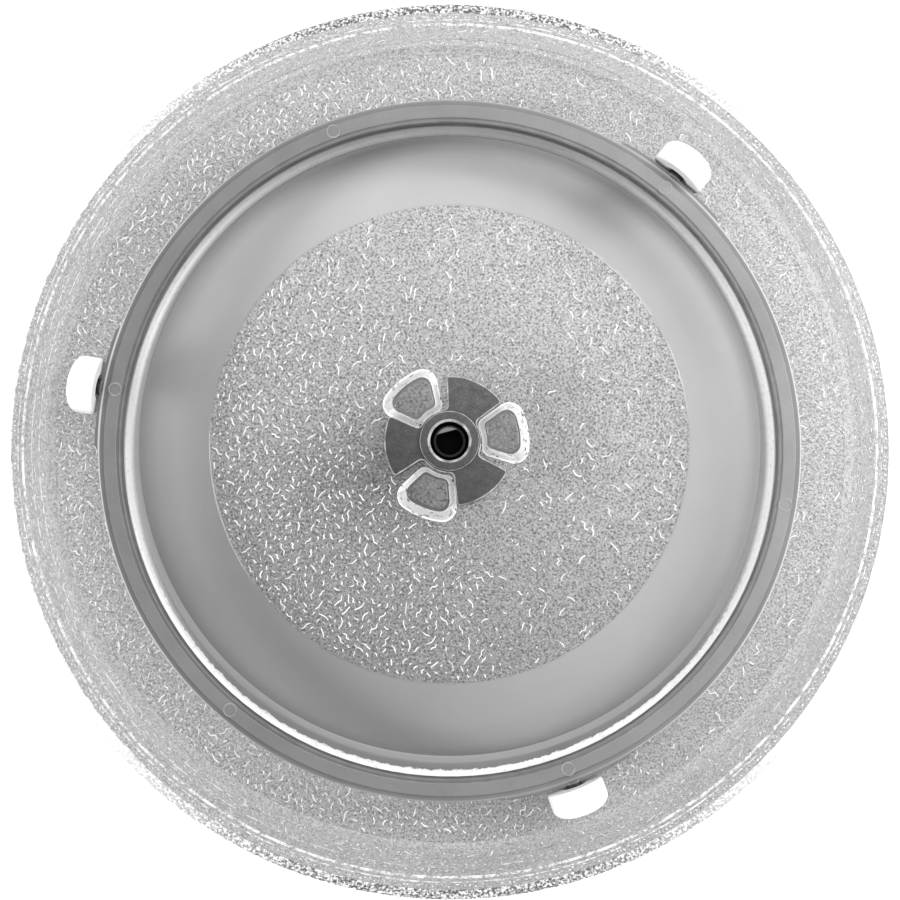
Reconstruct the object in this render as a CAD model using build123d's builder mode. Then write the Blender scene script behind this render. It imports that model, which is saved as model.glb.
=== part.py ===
from build123d import *
import os
from math import cos, sin, radians

os.makedirs("parts", exist_ok=True)

# Turntable set lying upside-down: the plate's rim edge is on the floor at z = 0,
# +Z comes out of the plate's underside, and the Z axis is the axis of rotation.
# All sizes in millimetres.

# ---------------------------------------------------------------- glass plate
plate_r = 122.5            # outside of the lip
glass_t = 4.5              # thickness at the middle
disc_z = 16.5              # underside of the stippled centre disc
disc_r = 63.4              # edge of the stippled centre disc
disc_step = 0.25           # the smooth band stands this much proud of the disc
band_r = 84.2              # outer edge of the smooth band, top of the track step
track_in_r = 86.6          # bottom of the track step
track_z = 14.0             # underside of the annulus that the wheels run on
track_t = 4.6              # glass thickness at the track
track_out_r = 107.3        # where the track turns down into the wall
wall_crease = (110.4, 11.1)
wall_foot = (114.8, 5.7)
ledge_edge = (116.8, 5.0)
lip_edge = (121.5, 3.7)

# ----------------------------------------------------------------- glass lugs
lug_count = 3
lug_a0 = 9.0               # angle of the first lug
lug_half = 26.0            # half of each lug's angle, at its foot
lug_in_r = 9.1
lug_out_r = 20.7
lug_h = 7.0
lug_top_in = 0.8           # draft of the inner wall
lug_top_out = 2.4          # draft of the outer wall
lug_top_side = 1.45        # draft of the two side walls
lug_corner_in = 1.9
lug_corner_out = 3.4

# -------------------------------------------------------------- drive coupler
wing_a0 = 64.8
wing_half = 28.0
wing_r = 17.0
wing_t = 7.5
root_r = 8.3
root_fillet = 1.3
wing_corner = 0.9
hub_r = 7.8
hub_top_z = 25.0
mouth_r = 5.7              # outer edge of the lead-in
recess_r = 5.05            # recess in the hub's top
tube_r = 4.15              # tube that holds the socket, inside the recess
tube_top_z = 22.6
groove_floor_z = 19.2      # bottom of the groove around the tube
socket_r = 3.5             # round part of the D-shaped socket
socket_flat = 2.57         # flat of the D, from the axis
socket_flat_a = 105.0
socket_floor_z = 18.2

# ---------------------------------------------------------------- roller ring
ring_y = -1.5              # the loose ring lies this far off the plate's axis
ring_in_r = 85.55
ring_out_r = 91.75
ring_bot_z = 19.4
ring_top_z = 24.0
ring_ledge_z = 22.9
body_out_r = 90.05         # outer edge of the raised body's top
body_in_r = 86.85          # inner edge of the raised body's top
groove = (86.5, 23.25)     # shallow groove inside the raised body
lip_crest = (86.1, 23.65)
lip_foot_z = 22.9
pad_out_r = 92.6
pad_half = 10.6            # half of the angle that a pad covers
pin_mark_r = 88.45
pin_mark_a0 = 50.2

# --------------------------------------------------------------------- wheels
wheel_angles = [50.2, 170.2, 290.2]
wheel_r = 7.5
wheel_in = 93.3            # inner face, from the ring's axis
wheel_out = 100.9          # outer end
wheel_gap = 0.2            # clearance over the track
axle_r = 2.1
axle_clear = 0.05
wheel_recess_r = 3.3
wheel_recess = 1.3
wheel_sink_r = 2.95        # outer recess that holds the snap end
wheel_sink = 1.7
snap_r = 2.5
snap_slot = 0.9
axle_z = track_z + wheel_r + wheel_gap

# ============================================================== glass plate
# One drafted lug, pointing along +X; its foot sinks 0.3 mm into the plate.
with BuildPart() as lug:
    foot_z = disc_z - 0.3
    with BuildSketch(Plane.XY.offset(foot_z)) as lug_foot:
        with BuildLine():
            a = radians(lug_half)
            p_in_lo = (lug_in_r * cos(a), -lug_in_r * sin(a))
            p_in_hi = (lug_in_r * cos(a), lug_in_r * sin(a))
            p_out_lo = (lug_out_r * cos(a), -lug_out_r * sin(a))
            p_out_hi = (lug_out_r * cos(a), lug_out_r * sin(a))
            Line(p_in_lo, p_out_lo)
            ThreePointArc(p_out_lo, (lug_out_r, 0), p_out_hi)
            Line(p_out_hi, p_in_hi)
            ThreePointArc(p_in_hi, (lug_in_r, 0), p_in_lo)
        make_face()
        corners = lug_foot.vertices().sort_by(Axis.X)
        fillet(corners[2:], lug_corner_out)
        corners = lug_foot.vertices().sort_by(Axis.X)
        fillet(corners[:2], lug_corner_in)
    with BuildSketch(Plane.XY.offset(disc_z + lug_h)) as lug_top:
        with BuildLine():
            r_in = lug_in_r + lug_top_in
            r_out = lug_out_r - lug_top_out
            # the side walls lean in by a constant width
            off = lug_top_side / cos(a)
            tx, ty = cos(a), sin(a)

            # point at the given radius on a side line that is moved inwards
            def on_side(radius, sign):
                x0, y0 = 0.0, -off
                b = 2 * (x0 * tx + y0 * ty)
                c = x0 * x0 + y0 * y0 - radius * radius
                s = (-b + (b * b - 4 * c) ** 0.5) / 2
                return (x0 + s * tx, sign * (y0 + s * ty))

            q_in_lo, q_in_hi = on_side(r_in, -1), on_side(r_in, 1)
            q_out_lo, q_out_hi = on_side(r_out, -1), on_side(r_out, 1)
            Line(q_in_lo, q_out_lo)
            ThreePointArc(q_out_lo, (r_out, 0), q_out_hi)
            Line(q_out_hi, q_in_hi)
            ThreePointArc(q_in_hi, (r_in, 0), q_in_lo)
        make_face()
        corners = lug_top.vertices().sort_by(Axis.X)
        fillet(corners[2:], lug_corner_out - 0.9)
        corners = lug_top.vertices().sort_by(Axis.X)
        fillet(corners[:2], lug_corner_in - 0.5)
    loft(ruled=True)
    fillet(lug.faces().sort_by(Axis.Z)[-1].edges(), 0.7)

with BuildPart() as glass_plate:
    with BuildSketch(Plane.XZ) as plate_section:
        with BuildLine():
            Polyline(
                (0, disc_z - glass_t),
                (82.7, disc_z - glass_t),
                (85.0, track_z - track_t),
                (105.9, track_z - track_t),
                (111.7, 2.6),
                (114.6, 0.75),
                (118.4, 0),
                (121.3, 0),
                (plate_r, 1.2),
                (plate_r, 2.6),
                lip_edge,
                ledge_edge,
                wall_foot,
                wall_crease,
                (track_out_r, track_z),
                (track_in_r, track_z),
                (band_r, disc_z + disc_step),
                (disc_r + 0.3, disc_z + disc_step),
                (disc_r, disc_z),
                (0, disc_z),
                close=True,
            )
        make_face()
        corner_radii = [
            ((82.7, disc_z - glass_t), 2.0),
            ((85.0, track_z - track_t), 2.0),
            ((105.9, track_z - track_t), 3.0),
            ((111.7, 2.6), 2.5),
            ((121.3, 0), 0.7),
            ((plate_r, 1.2), 0.7),
            ((plate_r, 2.6), 0.6),
            (lip_edge, 0.7),
            (ledge_edge, 0.6),
            (wall_foot, 0.6),
            (wall_crease, 1.2),
            ((track_out_r, track_z), 1.2),
            ((track_in_r, track_z), 0.7),
            ((band_r, disc_z + disc_step), 0.7),
        ]
        for (r, z), radius in corner_radii:
            corner = plate_section.vertices().sort_by_distance((r, z, 0))[0]
            fillet(corner, radius)
    revolve(axis=Axis.Z)
    with PolarLocations(0, lug_count, start_angle=lug_a0):
        add(lug.part)

glass_plate.part.label = "glass_plate"
export_step(glass_plate.part, "parts/glass_plate.step")

# ============================================================ drive coupler
with BuildPart() as drive_coupler:
    with BuildSketch(Plane.XY.offset(disc_z)) as wings:
        Circle(root_r)
        with PolarLocations(0, 3, start_angle=wing_a0):
            with BuildSketch(mode=Mode.PRIVATE) as wing:
                with BuildLine():
                    w = radians(wing_half)
                    Line((0, 0), (wing_r * cos(w), -wing_r * sin(w)))
                    ThreePointArc(
                        (wing_r * cos(w), -wing_r * sin(w)),
                        (wing_r, 0),
                        (wing_r * cos(w), wing_r * sin(w)),
                    )
                    Line((wing_r * cos(w), wing_r * sin(w)), (0, 0))
                make_face()
            add(wing.sketch)
        tips = [v for v in wings.vertices() if (v.X**2 + v.Y**2) ** 0.5 > wing_r - 0.5]
        fillet(tips, wing_corner)
        roots = [v for v in wings.vertices() if (v.X**2 + v.Y**2) ** 0.5 < root_r + 0.3]
        fillet(roots, root_fillet)
    extrude(amount=wing_t)
    chamfer(drive_coupler.faces().sort_by(Axis.Z)[-1].edges(), 0.3)
    with BuildSketch(Plane.XY.offset(disc_z + wing_t - 0.5)):
        Circle(hub_r)
    extrude(amount=hub_top_z - disc_z - wing_t + 0.5)
    fillet(drive_coupler.faces().sort_by(Axis.Z)[-1].edges(), 0.35)
    # recess with a conical lead-in at its mouth
    with BuildSketch(Plane.XY.offset(tube_top_z)):
        Circle(recess_r)
    extrude(amount=hub_top_z - tube_top_z, mode=Mode.SUBTRACT)
    mouth = (
        drive_coupler.edges()
        .filter_by(GeomType.CIRCLE)
        .filter_by(lambda e: abs(e.radius - recess_r) < 0.01)
        .sort_by(Axis.Z)[-1]
    )
    chamfer(mouth, mouth_r - recess_r)
    # groove that leaves a tube standing, and the D-shaped socket in the tube
    with BuildSketch(Plane.XY.offset(groove_floor_z)):
        Circle(recess_r)
        Circle(tube_r, mode=Mode.SUBTRACT)
    extrude(amount=tube_top_z - groove_floor_z, mode=Mode.SUBTRACT)
    with BuildSketch(Plane.XY.offset(socket_floor_z)):
        Circle(socket_r)
        with PolarLocations(socket_flat + 5.0, 1, start_angle=socket_flat_a):
            Rectangle(10.0, 20.0, mode=Mode.SUBTRACT)
    extrude(amount=tube_top_z - socket_floor_z, mode=Mode.SUBTRACT)
    socket_rim = drive_coupler.faces().filter_by(
        lambda f: abs(f.center().Z - tube_top_z) < 0.01
    )
    chamfer(socket_rim[0].inner_wires().edges(), 0.2)

drive_coupler.part.label = "drive_coupler"
export_step(drive_coupler.part, "parts/drive_coupler.step")

# ============================================================== roller ring
with BuildPart() as roller_ring:
    with BuildSketch(Plane.XZ.offset(-ring_y)) as band_section:
        with BuildLine():
            Polyline(
                (ring_in_r, ring_bot_z),
                (ring_out_r, ring_bot_z),
                (ring_out_r, ring_ledge_z),
                (body_out_r + 0.2, ring_ledge_z),
                (body_out_r, ring_top_z),
                (body_in_r, ring_top_z),
                groove,
                lip_crest,
                (ring_in_r, lip_foot_z),
                close=True,
            )
        make_face()
        band_corners = [
            ((ring_in_r, ring_bot_z), 0.5),
            ((ring_out_r, ring_bot_z), 0.5),
            ((ring_out_r, ring_ledge_z), 0.35),
            ((body_out_r, ring_top_z), 0.3),
            ((body_in_r, ring_top_z), 0.2),
            (groove, 0.15),
            (lip_crest, 0.2),
            ((ring_in_r, lip_foot_z), 0.3),
        ]
        for (r, z), radius in band_corners:
            corner = band_section.vertices().sort_by_distance((r, z, 0))[0]
            fillet(corner, radius)
    revolve(axis=Axis((0, ring_y, 0), (0, 0, 1)))
    # thickened pads that carry the axles, with slanted ends
    with BuildSketch(Plane((0, ring_y, ring_bot_z + 0.3))) as pads:
        with PolarLocations(0, 3, start_angle=wheel_angles[0]):
            with BuildSketch(mode=Mode.PRIVATE) as pad:
                with BuildLine():
                    g = radians(pad_half)
                    g2 = radians(pad_half - 1.1)
                    r0 = ring_out_r - 1.0
                    Line((r0 * cos(g), -r0 * sin(g)), (ring_out_r * cos(g), -ring_out_r * sin(g)))
                    Line((ring_out_r * cos(g), -ring_out_r * sin(g)), (pad_out_r * cos(g2), -pad_out_r * sin(g2)))
                    ThreePointArc(
                        (pad_out_r * cos(g2), -pad_out_r * sin(g2)),
                        (pad_out_r, 0),
                        (pad_out_r * cos(g2), pad_out_r * sin(g2)),
                    )
                    Line((pad_out_r * cos(g2), pad_out_r * sin(g2)), (ring_out_r * cos(g), ring_out_r * sin(g)))
                    Line((ring_out_r * cos(g), ring_out_r * sin(g)), (r0 * cos(g), r0 * sin(g)))
                    ThreePointArc((r0 * cos(g), r0 * sin(g)), (r0, 0), (r0 * cos(g), -r0 * sin(g)))
                make_face()
            add(pad.sketch)
    extrude(amount=ring_ledge_z - ring_bot_z - 0.3)
    # witness rings of the ejector pins
    with BuildSketch(Plane((0, ring_y, ring_top_z + 0.12))):
        with PolarLocations(pin_mark_r, 6, start_angle=pin_mark_a0):
            Circle(1.8)
            Circle(1.45, mode=Mode.SUBTRACT)
    extrude(amount=-1.2)
    # axle stubs with split snap ends
    for angle in wheel_angles:
        c, s = cos(radians(angle)), sin(radians(angle))
        side = Plane(origin=(0, ring_y, axle_z), x_dir=(c, s, 0), z_dir=(s, -c, 0))
        with BuildSketch(side):
            with BuildLine():
                Polyline(
                    (pad_out_r - 0.5, 0),
                    (pad_out_r - 0.5, axle_r),
                    (wheel_out - wheel_sink + 0.25, axle_r),
                    (wheel_out - wheel_sink + 0.25, snap_r),
                    (wheel_out - wheel_sink + 0.55, snap_r),
                    (wheel_out - 0.25, axle_r - 0.5),
                    (wheel_out - 0.25, 0),
                    close=True,
                )
            make_face()
        revolve(axis=Axis((0, ring_y, axle_z), (c, s, 0)))
        with BuildSketch(side):
            with Locations((wheel_out - 2.5, 0)):
                Rectangle(5.0, 4 * snap_r)
        extrude(amount=snap_slot / 2, both=True, mode=Mode.SUBTRACT)

roller_ring.part.label = "roller_ring"
export_step(roller_ring.part, "parts/roller_ring.step")

# =================================================================== wheels
bore_r = axle_r + axle_clear
for i, angle in enumerate(wheel_angles, start=1):
    c, s = cos(radians(angle)), sin(radians(angle))
    side = Plane(origin=(0, ring_y, axle_z), x_dir=(c, s, 0), z_dir=(s, -c, 0))
    with BuildPart() as roller_wheel:
        with BuildSketch(side) as wheel_section:
            with BuildLine():
                l1 = Polyline(
                    (wheel_out - wheel_sink, wheel_sink_r),
                    (wheel_out - wheel_sink, bore_r),
                    (wheel_in + wheel_recess, bore_r),
                    (wheel_in + wheel_recess, wheel_recess_r),
                    (wheel_in, wheel_recess_r),
                    (wheel_in, wheel_r - 0.7),
                )
                l2 = RadiusArc(
                    (wheel_in, wheel_r - 0.7), (wheel_in + 0.7, wheel_r), 0.7
                )
                l3 = Line((wheel_in + 0.7, wheel_r), (wheel_out - 3.3, wheel_r))
                l4 = Spline(
                    (wheel_out - 3.3, wheel_r),
                    (wheel_out - 1.9, wheel_r - 0.46),
                    (wheel_out - 0.95, wheel_r - 1.47),
                    (wheel_out - 0.3, wheel_r - 2.9),
                    (wheel_out, wheel_sink_r + 0.2),
                    tangents=((1, 0), (0.1, -1)),
                )
                l5 = Polyline(
                    (wheel_out, wheel_sink_r + 0.2),
                    (wheel_out, wheel_sink_r),
                    (wheel_out - wheel_sink, wheel_sink_r),
                )
            make_face()
        revolve(axis=Axis((0, ring_y, axle_z), (c, s, 0)))
    roller_wheel.part.label = f"roller_wheel_{i}"
    export_step(roller_wheel.part, f"parts/roller_wheel_{i}.step")
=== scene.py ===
import math
import random

import bmesh
import bpy
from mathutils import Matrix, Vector
from mathutils.geometry import delaunay_2d_cdt


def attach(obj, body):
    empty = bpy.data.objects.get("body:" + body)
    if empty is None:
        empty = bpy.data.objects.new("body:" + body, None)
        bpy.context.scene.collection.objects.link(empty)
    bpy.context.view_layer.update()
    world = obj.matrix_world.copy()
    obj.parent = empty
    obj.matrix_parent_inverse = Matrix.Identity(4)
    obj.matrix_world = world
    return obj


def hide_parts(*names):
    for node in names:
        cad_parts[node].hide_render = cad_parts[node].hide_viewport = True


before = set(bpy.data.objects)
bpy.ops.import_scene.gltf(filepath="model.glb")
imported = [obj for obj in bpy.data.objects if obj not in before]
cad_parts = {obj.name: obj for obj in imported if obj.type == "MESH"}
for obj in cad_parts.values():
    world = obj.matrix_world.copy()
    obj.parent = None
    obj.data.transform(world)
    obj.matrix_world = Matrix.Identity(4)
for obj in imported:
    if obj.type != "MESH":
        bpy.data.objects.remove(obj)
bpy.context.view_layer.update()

MM = 0.001

# ---------------------------------------------------------------------------
# Plate sizes in millimetres, the same as the solid model's
# ---------------------------------------------------------------------------
DISC_Z, DISC_R = 16.5, 63.4
TRACK_Z = 14.0
FOOD_Z = 12.0
LUG_A0, LUG_HALF = 9.0, 26.0
LUG_IN, LUG_OUT, LUG_H = 9.1, 20.7, 7.0
LUG_DRAFT_IN, LUG_DRAFT_OUT, LUG_DRAFT_SIDE = 0.8, 2.4, 1.45
LUG_CORNER_IN, LUG_CORNER_OUT = 1.9, 3.4
LUG_TOP_ROUND = 0.7
WING_A0, WING_HALF, WING_R, ROOT_R = 64.8, 28.0, 17.0, 8.3

# material slots of the plate
CLEAR, LUG_LIT, STROKE, STIPPLE, TRACK, RIM, EDGE, FOOD, STEP, LINE, LUG, DOT, BRIGHT, SIDE, TURN = range(15)

rng = random.Random(20260417)


# ---------------------------------------------------------------------------
# Mesh helpers
# ---------------------------------------------------------------------------
def rounded(points, steps=3):
    """Open polyline of (r, z, corner radius), with its corners rounded."""
    out = []
    for i, (x, y, radius) in enumerate(points):
        if i in (0, len(points) - 1) or radius <= 0:
            out.append((x, y))
            continue
        p = Vector((x, y))
        a = Vector(points[i - 1][:2]) - p
        b = Vector(points[i + 1][:2]) - p
        la, lb = a.length, b.length
        a.normalize()
        b.normalize()
        half = math.acos(max(-1.0, min(1.0, a.dot(b)))) / 2
        t = min(radius / math.tan(half), 0.49 * la, 0.49 * lb)
        r = t * math.tan(half)
        c = p + (a + b).normalized() * (r / math.sin(half))
        s, e = p + a * t - c, p + b * t - c
        a0 = math.atan2(s.y, s.x)
        d = math.atan2(e.y, e.x) - a0
        d = (d + math.pi) % (2 * math.pi) - math.pi
        for k in range(steps + 1):
            w = a0 + d * k / steps
            out.append((c.x + r * math.cos(w), c.y + r * math.sin(w)))
    return out


class Shell:
    """Vertices and faces of one closed surface, in millimetres."""

    def __init__(self):
        self.v, self.f, self.m = [], [], []

    def point(self, x, y, z):
        self.v.append((x, y, z))
        return len(self.v) - 1

    def ring(self, r, z, n, dent=None):
        ids = []
        for i in range(n):
            a = 2 * math.pi * i / n
            rr = r - (dent[i] if dent else 0.0)
            ids.append(self.point(rr * math.cos(a), rr * math.sin(a), z))
        return ids

    def face(self, ids, mat=CLEAR):
        self.f.append(tuple(ids))
        self.m.append(mat)

    def band(self, a, b, mat=CLEAR):
        """Joins two closed rows of points, equal in count or 1 to 2."""
        if len(a) > len(b):
            a, b = b, a
        na, nb = len(a), len(b)
        for i in range(na):
            k = (i + 1) % na
            if na == nb:
                self.face((a[i], a[k], b[k], b[i]), mat)
            else:
                j = 2 * i
                self.face((a[i], b[j + 1], b[j]), mat)
                self.face((a[i], a[k], b[j + 1]), mat)
                self.face((a[k], b[(j + 2) % nb], b[j + 1]), mat)

    def sheet(self, loops, strokes, z, skip, mat):
        """Fills the flat area between closed rows of points, with the raised
        strokes standing on it. skip says which triangles lie in a hole."""
        ids, flat, edges, owner = [], [], [], []
        for loop in loops:
            first = len(ids)
            for k, i in enumerate(loop):
                ids.append(i)
                flat.append(Vector(self.v[i][:2]))
                owner.append(-1)
                edges.append((first + k, first + (k + 1) % len(loop)))
        for s, (outline, ridge, _) in enumerate(strokes):
            first = len(ids)
            for k, (x, y) in enumerate(outline):
                ids.append(self.point(x, y, z))
                flat.append(Vector((x, y)))
                owner.append(s)
                edges.append((first + k, first + (k + 1) % len(outline)))
            first = len(ids)
            for k, (x, y, h) in enumerate(ridge):
                ids.append(self.point(x, y, z + h))
                flat.append(Vector((x, y)))
                owner.append(s)
                if k:
                    edges.append((first + k - 1, first + k))
        pts, _, tris, source, _, _ = delaunay_2d_cdt(flat, edges, [], 0, 1e-6)
        final, own = [], []
        for p, src in zip(pts, source):
            if src:
                final.append(ids[src[0]])
                own.append(owner[src[0]])
            else:
                final.append(self.point(p.x, p.y, z))
                own.append(-1)
        for t in tris:
            c = (pts[t[0]] + pts[t[1]] + pts[t[2]]) / 3
            if skip(c, t, final):
                continue
            same = own[t[0]] >= 0 and own[t[0]] == own[t[1]] == own[t[2]]
            same = same and inside(strokes[own[t[0]]][0], c.x, c.y)
            self.face([final[i] for i in t], strokes[own[t[0]]][2] if same else mat)

    def cone(self, a, b, p, q, strokes, mat):
        """Fills the cone between two rows of points at (r, z) p and q, with
        raised strokes given as (distance round, distance down the slope)."""
        n, mid = len(a), (p[0] + q[0]) / 2
        slope = math.hypot(q[0] - p[0], q[1] - p[1])
        nr, nz = -(q[1] - p[1]) / slope, (q[0] - p[0]) / slope

        def place(u, t, h):
            w, k = u / mid, t / slope
            r = p[0] + (q[0] - p[0]) * k + nr * h
            return self.point(r * math.cos(w), r * math.sin(w), p[1] + (q[1] - p[1]) * k + nz * h)

        ids, flat, edges, owner = [], [], [], []
        for row, t in ((a, 0.0), (b, slope)):
            first = len(ids)
            for i in range(n + 1):
                ids.append(row[i % n])
                flat.append(Vector((2 * math.pi * mid * i / n, t)))
                owner.append(-1)
                if i:
                    edges.append((first + i - 1, first + i))
        edges += [(0, n + 1), (n, 2 * n + 1)]
        for s, (outline, ridge, _) in enumerate(strokes):
            first = len(ids)
            for k, (u, t) in enumerate(outline):
                ids.append(place(u, t, 0.0))
                flat.append(Vector((u, t)))
                owner.append(s)
                edges.append((first + k, first + (k + 1) % len(outline)))
            first = len(ids)
            for k, (u, t, h) in enumerate(ridge):
                ids.append(place(u, t, h))
                flat.append(Vector((u, t)))
                owner.append(s)
                if k:
                    edges.append((first + k - 1, first + k))
        pts, _, tris, source, _, _ = delaunay_2d_cdt(flat, edges, [], 0, 1e-6)
        final = [ids[src[0]] if src else place(v.x, v.y, 0.0) for v, src in zip(pts, source)]
        own = [owner[src[0]] if src else -1 for src in source]
        rows = set(a), set(b)
        for t in tris:
            corner = [final[i] for i in t]
            if len(set(corner)) == 3 and not (rows[0].issuperset(corner) or rows[1].issuperset(corner)):
                c = (pts[t[0]] + pts[t[1]] + pts[t[2]]) / 3
                same = own[t[0]] >= 0 and own[t[0]] == own[t[1]] == own[t[2]]
                same = same and inside(strokes[own[t[0]]][0], c.x, c.y)
                self.face(corner, strokes[own[t[0]]][2] if same else mat)

    def build(self, name):
        mesh = bpy.data.meshes.new(name)
        mesh.from_pydata([(x * MM, y * MM, z * MM) for x, y, z in self.v], [], self.f)
        mesh.polygons.foreach_set("material_index", self.m)
        bm = bmesh.new()
        bm.from_mesh(mesh)
        loose = [v for v in bm.verts if not v.link_faces]
        bmesh.ops.delete(bm, geom=loose, context="VERTS")
        bmesh.ops.recalc_face_normals(bm, faces=bm.faces)
        open_edges = sum(1 for e in bm.edges if len(e.link_faces) != 2)
        if bm.calc_volume(signed=True) < 0:
            bmesh.ops.reverse_faces(bm, faces=bm.faces)
        tri = sum(len(f.verts) - 2 for f in bm.faces)
        print(name, "triangles", tri, "open edges", open_edges,
              "volume cm3", round(bm.calc_volume() * 1e6, 2))
        bm.to_mesh(mesh)
        bm.free()
        mesh.shade_smooth()
        mesh.set_sharp_from_angle(angle=math.radians(42))
        obj = bpy.data.objects.new(name, mesh)
        bpy.context.scene.collection.objects.link(obj)
        return obj


# ---------------------------------------------------------------------------
# Drive lugs
# ---------------------------------------------------------------------------
def lug_outline(u, inset):
    """Closed outline of a lug pointing along +X. u is 0 at its foot and 1 at
    its top, and inset moves the whole outline inwards."""
    a = math.radians(LUG_HALF)
    r_in = LUG_IN + LUG_DRAFT_IN * u + inset
    r_out = LUG_OUT - LUG_DRAFT_OUT * u - inset
    off = (LUG_DRAFT_SIDE * u + inset) / math.cos(a)
    c_out = max(0.5, LUG_CORNER_OUT - 0.9 * u - inset)
    c_in = max(0.4, LUG_CORNER_IN - 0.5 * u - inset)
    t = Vector((math.cos(a), math.sin(a)))
    n = Vector((math.sin(a), -math.cos(a)))

    def on_circle(base, radius):
        b = base.dot(t)
        return base + t * (-b + math.sqrt(b * b - base.length_squared + radius * radius))

    base = Vector((0, -off))
    c_o = on_circle(base + n * c_out, r_out - c_out)
    c_i = on_circle(base + n * c_in, r_in + c_in)
    pts = []

    def arc(c, r, a0, a1, steps, last):
        for k in range(steps + (1 if last else 0)):
            w = a0 + (a1 - a0) * k / steps
            pts.append((c[0] + r * math.cos(w), c[1] + r * math.sin(w)))

    out_a = math.atan2(c_o.y, c_o.x)
    side_a = math.atan2(-n.y, -n.x)
    in_a = math.atan2(c_i.y, c_i.x)
    arc((0, 0), r_out, 0.0, out_a, 7, False)
    arc(c_o, c_out, out_a, side_a, 7, True)
    p0, p1 = c_o - n * c_out, c_i - n * c_in
    for k in range(1, 5):
        q = p0.lerp(p1, k / 5)
        pts.append((q.x, q.y))
    arc(c_i, c_in, side_a, in_a + math.pi, 6, True)
    for k in range(1, 5):
        w = in_a * (1 - k / 4)
        pts.append((r_in * math.cos(w), r_in * math.sin(w)))
    return pts + [(x, -y) for x, y in reversed(pts[1:-1])]


def turned(pts, angle):
    c, s = math.cos(math.radians(angle)), math.sin(math.radians(angle))
    return [(x * c - y * s, x * s + y * c) for x, y in pts]


def inside(poly, x, y):
    hit = False
    for (x0, y0), (x1, y1) in zip(poly, poly[1:] + poly[:1]):
        if (y0 > y) != (y1 > y) and x < x0 + (y - y0) / (y1 - y0) * (x1 - x0):
            hit = not hit
    return hit


# ---------------------------------------------------------------------------
# Stipple: short, slightly bent strokes pressed proud of the glass
# ---------------------------------------------------------------------------
class Strokes:
    """Raised marks kept apart from one another, each an outline and a ridge."""

    def __init__(self, allowed, gap, tone):
        self.allowed, self.gap, self.tone, self.grid, self.items = allowed, gap, tone, {}, []

    def free(self, x, y):
        gx, gy = int(x // self.gap), int(y // self.gap)
        for i in (gx - 1, gx, gx + 1):
            for j in (gy - 1, gy, gy + 1):
                for px, py in self.grid.get((i, j), ()):
                    if (px - x) ** 2 + (py - y) ** 2 < self.gap ** 2:
                        return False
        return True

    def scatter(self, spot, tries, long_share=0.25):
        """White strokes first, then short dull ones in the room between them."""
        for _ in range(tries):
            (x, y), turn = spot(), rng.uniform(0, math.pi)
            length = rng.uniform(1.2, 3.2) if rng.random() < long_share else rng.uniform(0.3, 1.1)
            if self.tone(x, y, turn) == BRIGHT:
                self.add(x, y, length, turn, rng.uniform(0.12, 0.17), rng.uniform(0.070, 0.110), BRIGHT)
        for _ in range(tries // 2):
            x, y = spot()
            self.add(x, y, rng.uniform(0.3, 0.69), rng.uniform(0, math.pi), rng.uniform(0.15, 0.22),
                     rng.uniform(0.070, 0.110), STROKE)

    def dots(self, spot, tries):
        for _ in range(tries):
            x, y = spot()
            self.add(x, y, rng.uniform(0.1, 0.4), rng.uniform(0, math.pi),
                     rng.uniform(0.16, 0.30), rng.uniform(0.07, 0.13), DOT)

    def add(self, x, y, length, turn, w, h, mat):
        d = Vector((math.cos(turn), math.sin(turn)))
        n = Vector((-d.y, d.x))
        c = Vector((x, y))
        p0, p3 = c - d * length / 2, c + d * length / 2
        if length < 0.7:
            marks = [p0, c, p3]
            a, b = p0.lerp(p3, 0.18), p0.lerp(p3, 0.82)
            outline = [p0 - d * w, a - n * w * 0.8, b - n * w * 0.8, p3 + d * w, b + n * w * 0.8, a + n * w * 0.8]
            a, b = p0.lerp(p3, 0.3), p0.lerp(p3, 0.7)
            ridge = [(a.x, a.y, h), (b.x, b.y, h)]
        else:
            # a gentle arc or S through four stations
            p1 = p0.lerp(p3, 0.33) + n * rng.uniform(-0.2, 0.2) * length
            p2 = p0.lerp(p3, 0.67) + n * rng.uniform(-0.2, 0.2) * length
            line = [p0, p1, p2, p3]
            marks = [u.lerp(v, k / 2) for u, v in zip(line, line[1:]) for k in (0, 1)] + [p3]
            along = [(p1 - p0).normalized(), (p2 - p0).normalized(), (p3 - p1).normalized(), (p3 - p2).normalized()]
            across = [Vector((-v.y, v.x)) for v in along]
            wide = [w * 0.8, w, w, w * 0.8]
            outline = ([p0 - along[0] * w] + [q - m * k for q, m, k in zip(line, across, wide)]
                       + [p3 + along[3] * w] + [q + m * k for q, m, k in zip(line, across, wide)][::-1])
            ridge = [(q.x, q.y, h * k) for q, k in zip(line, (0.85, 1.0, 1.0, 0.85))]
        if not all(self.free(q.x, q.y) for q in marks):
            return
        if not all(self.allowed(q.x, q.y) for q in outline):
            return
        for q in marks:
            self.grid.setdefault((int(q.x // self.gap), int(q.y // self.gap)), []).append((q.x, q.y))
        self.items.append(([(q.x, q.y) for q in outline], ridge, mat))


def pick_glint(place, along):
    """Which strokes get the painted white glint: the steeper ones, mostly towards the left."""
    steep = min(1.0, max(0.0, (abs(math.sin(along)) - 0.30) / 0.40))
    return BRIGHT if rng.random() < steep * place else STROKE


def in_ring(r_lo, r_hi):
    def spot():
        r = math.sqrt(rng.uniform(r_lo ** 2, r_hi ** 2))
        a = rng.uniform(0, 2 * math.pi)
        return r * math.cos(a), r * math.sin(a)
    return spot


def in_box(width, height):
    return lambda: (rng.uniform(0, width), rng.uniform(0, height))


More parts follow.
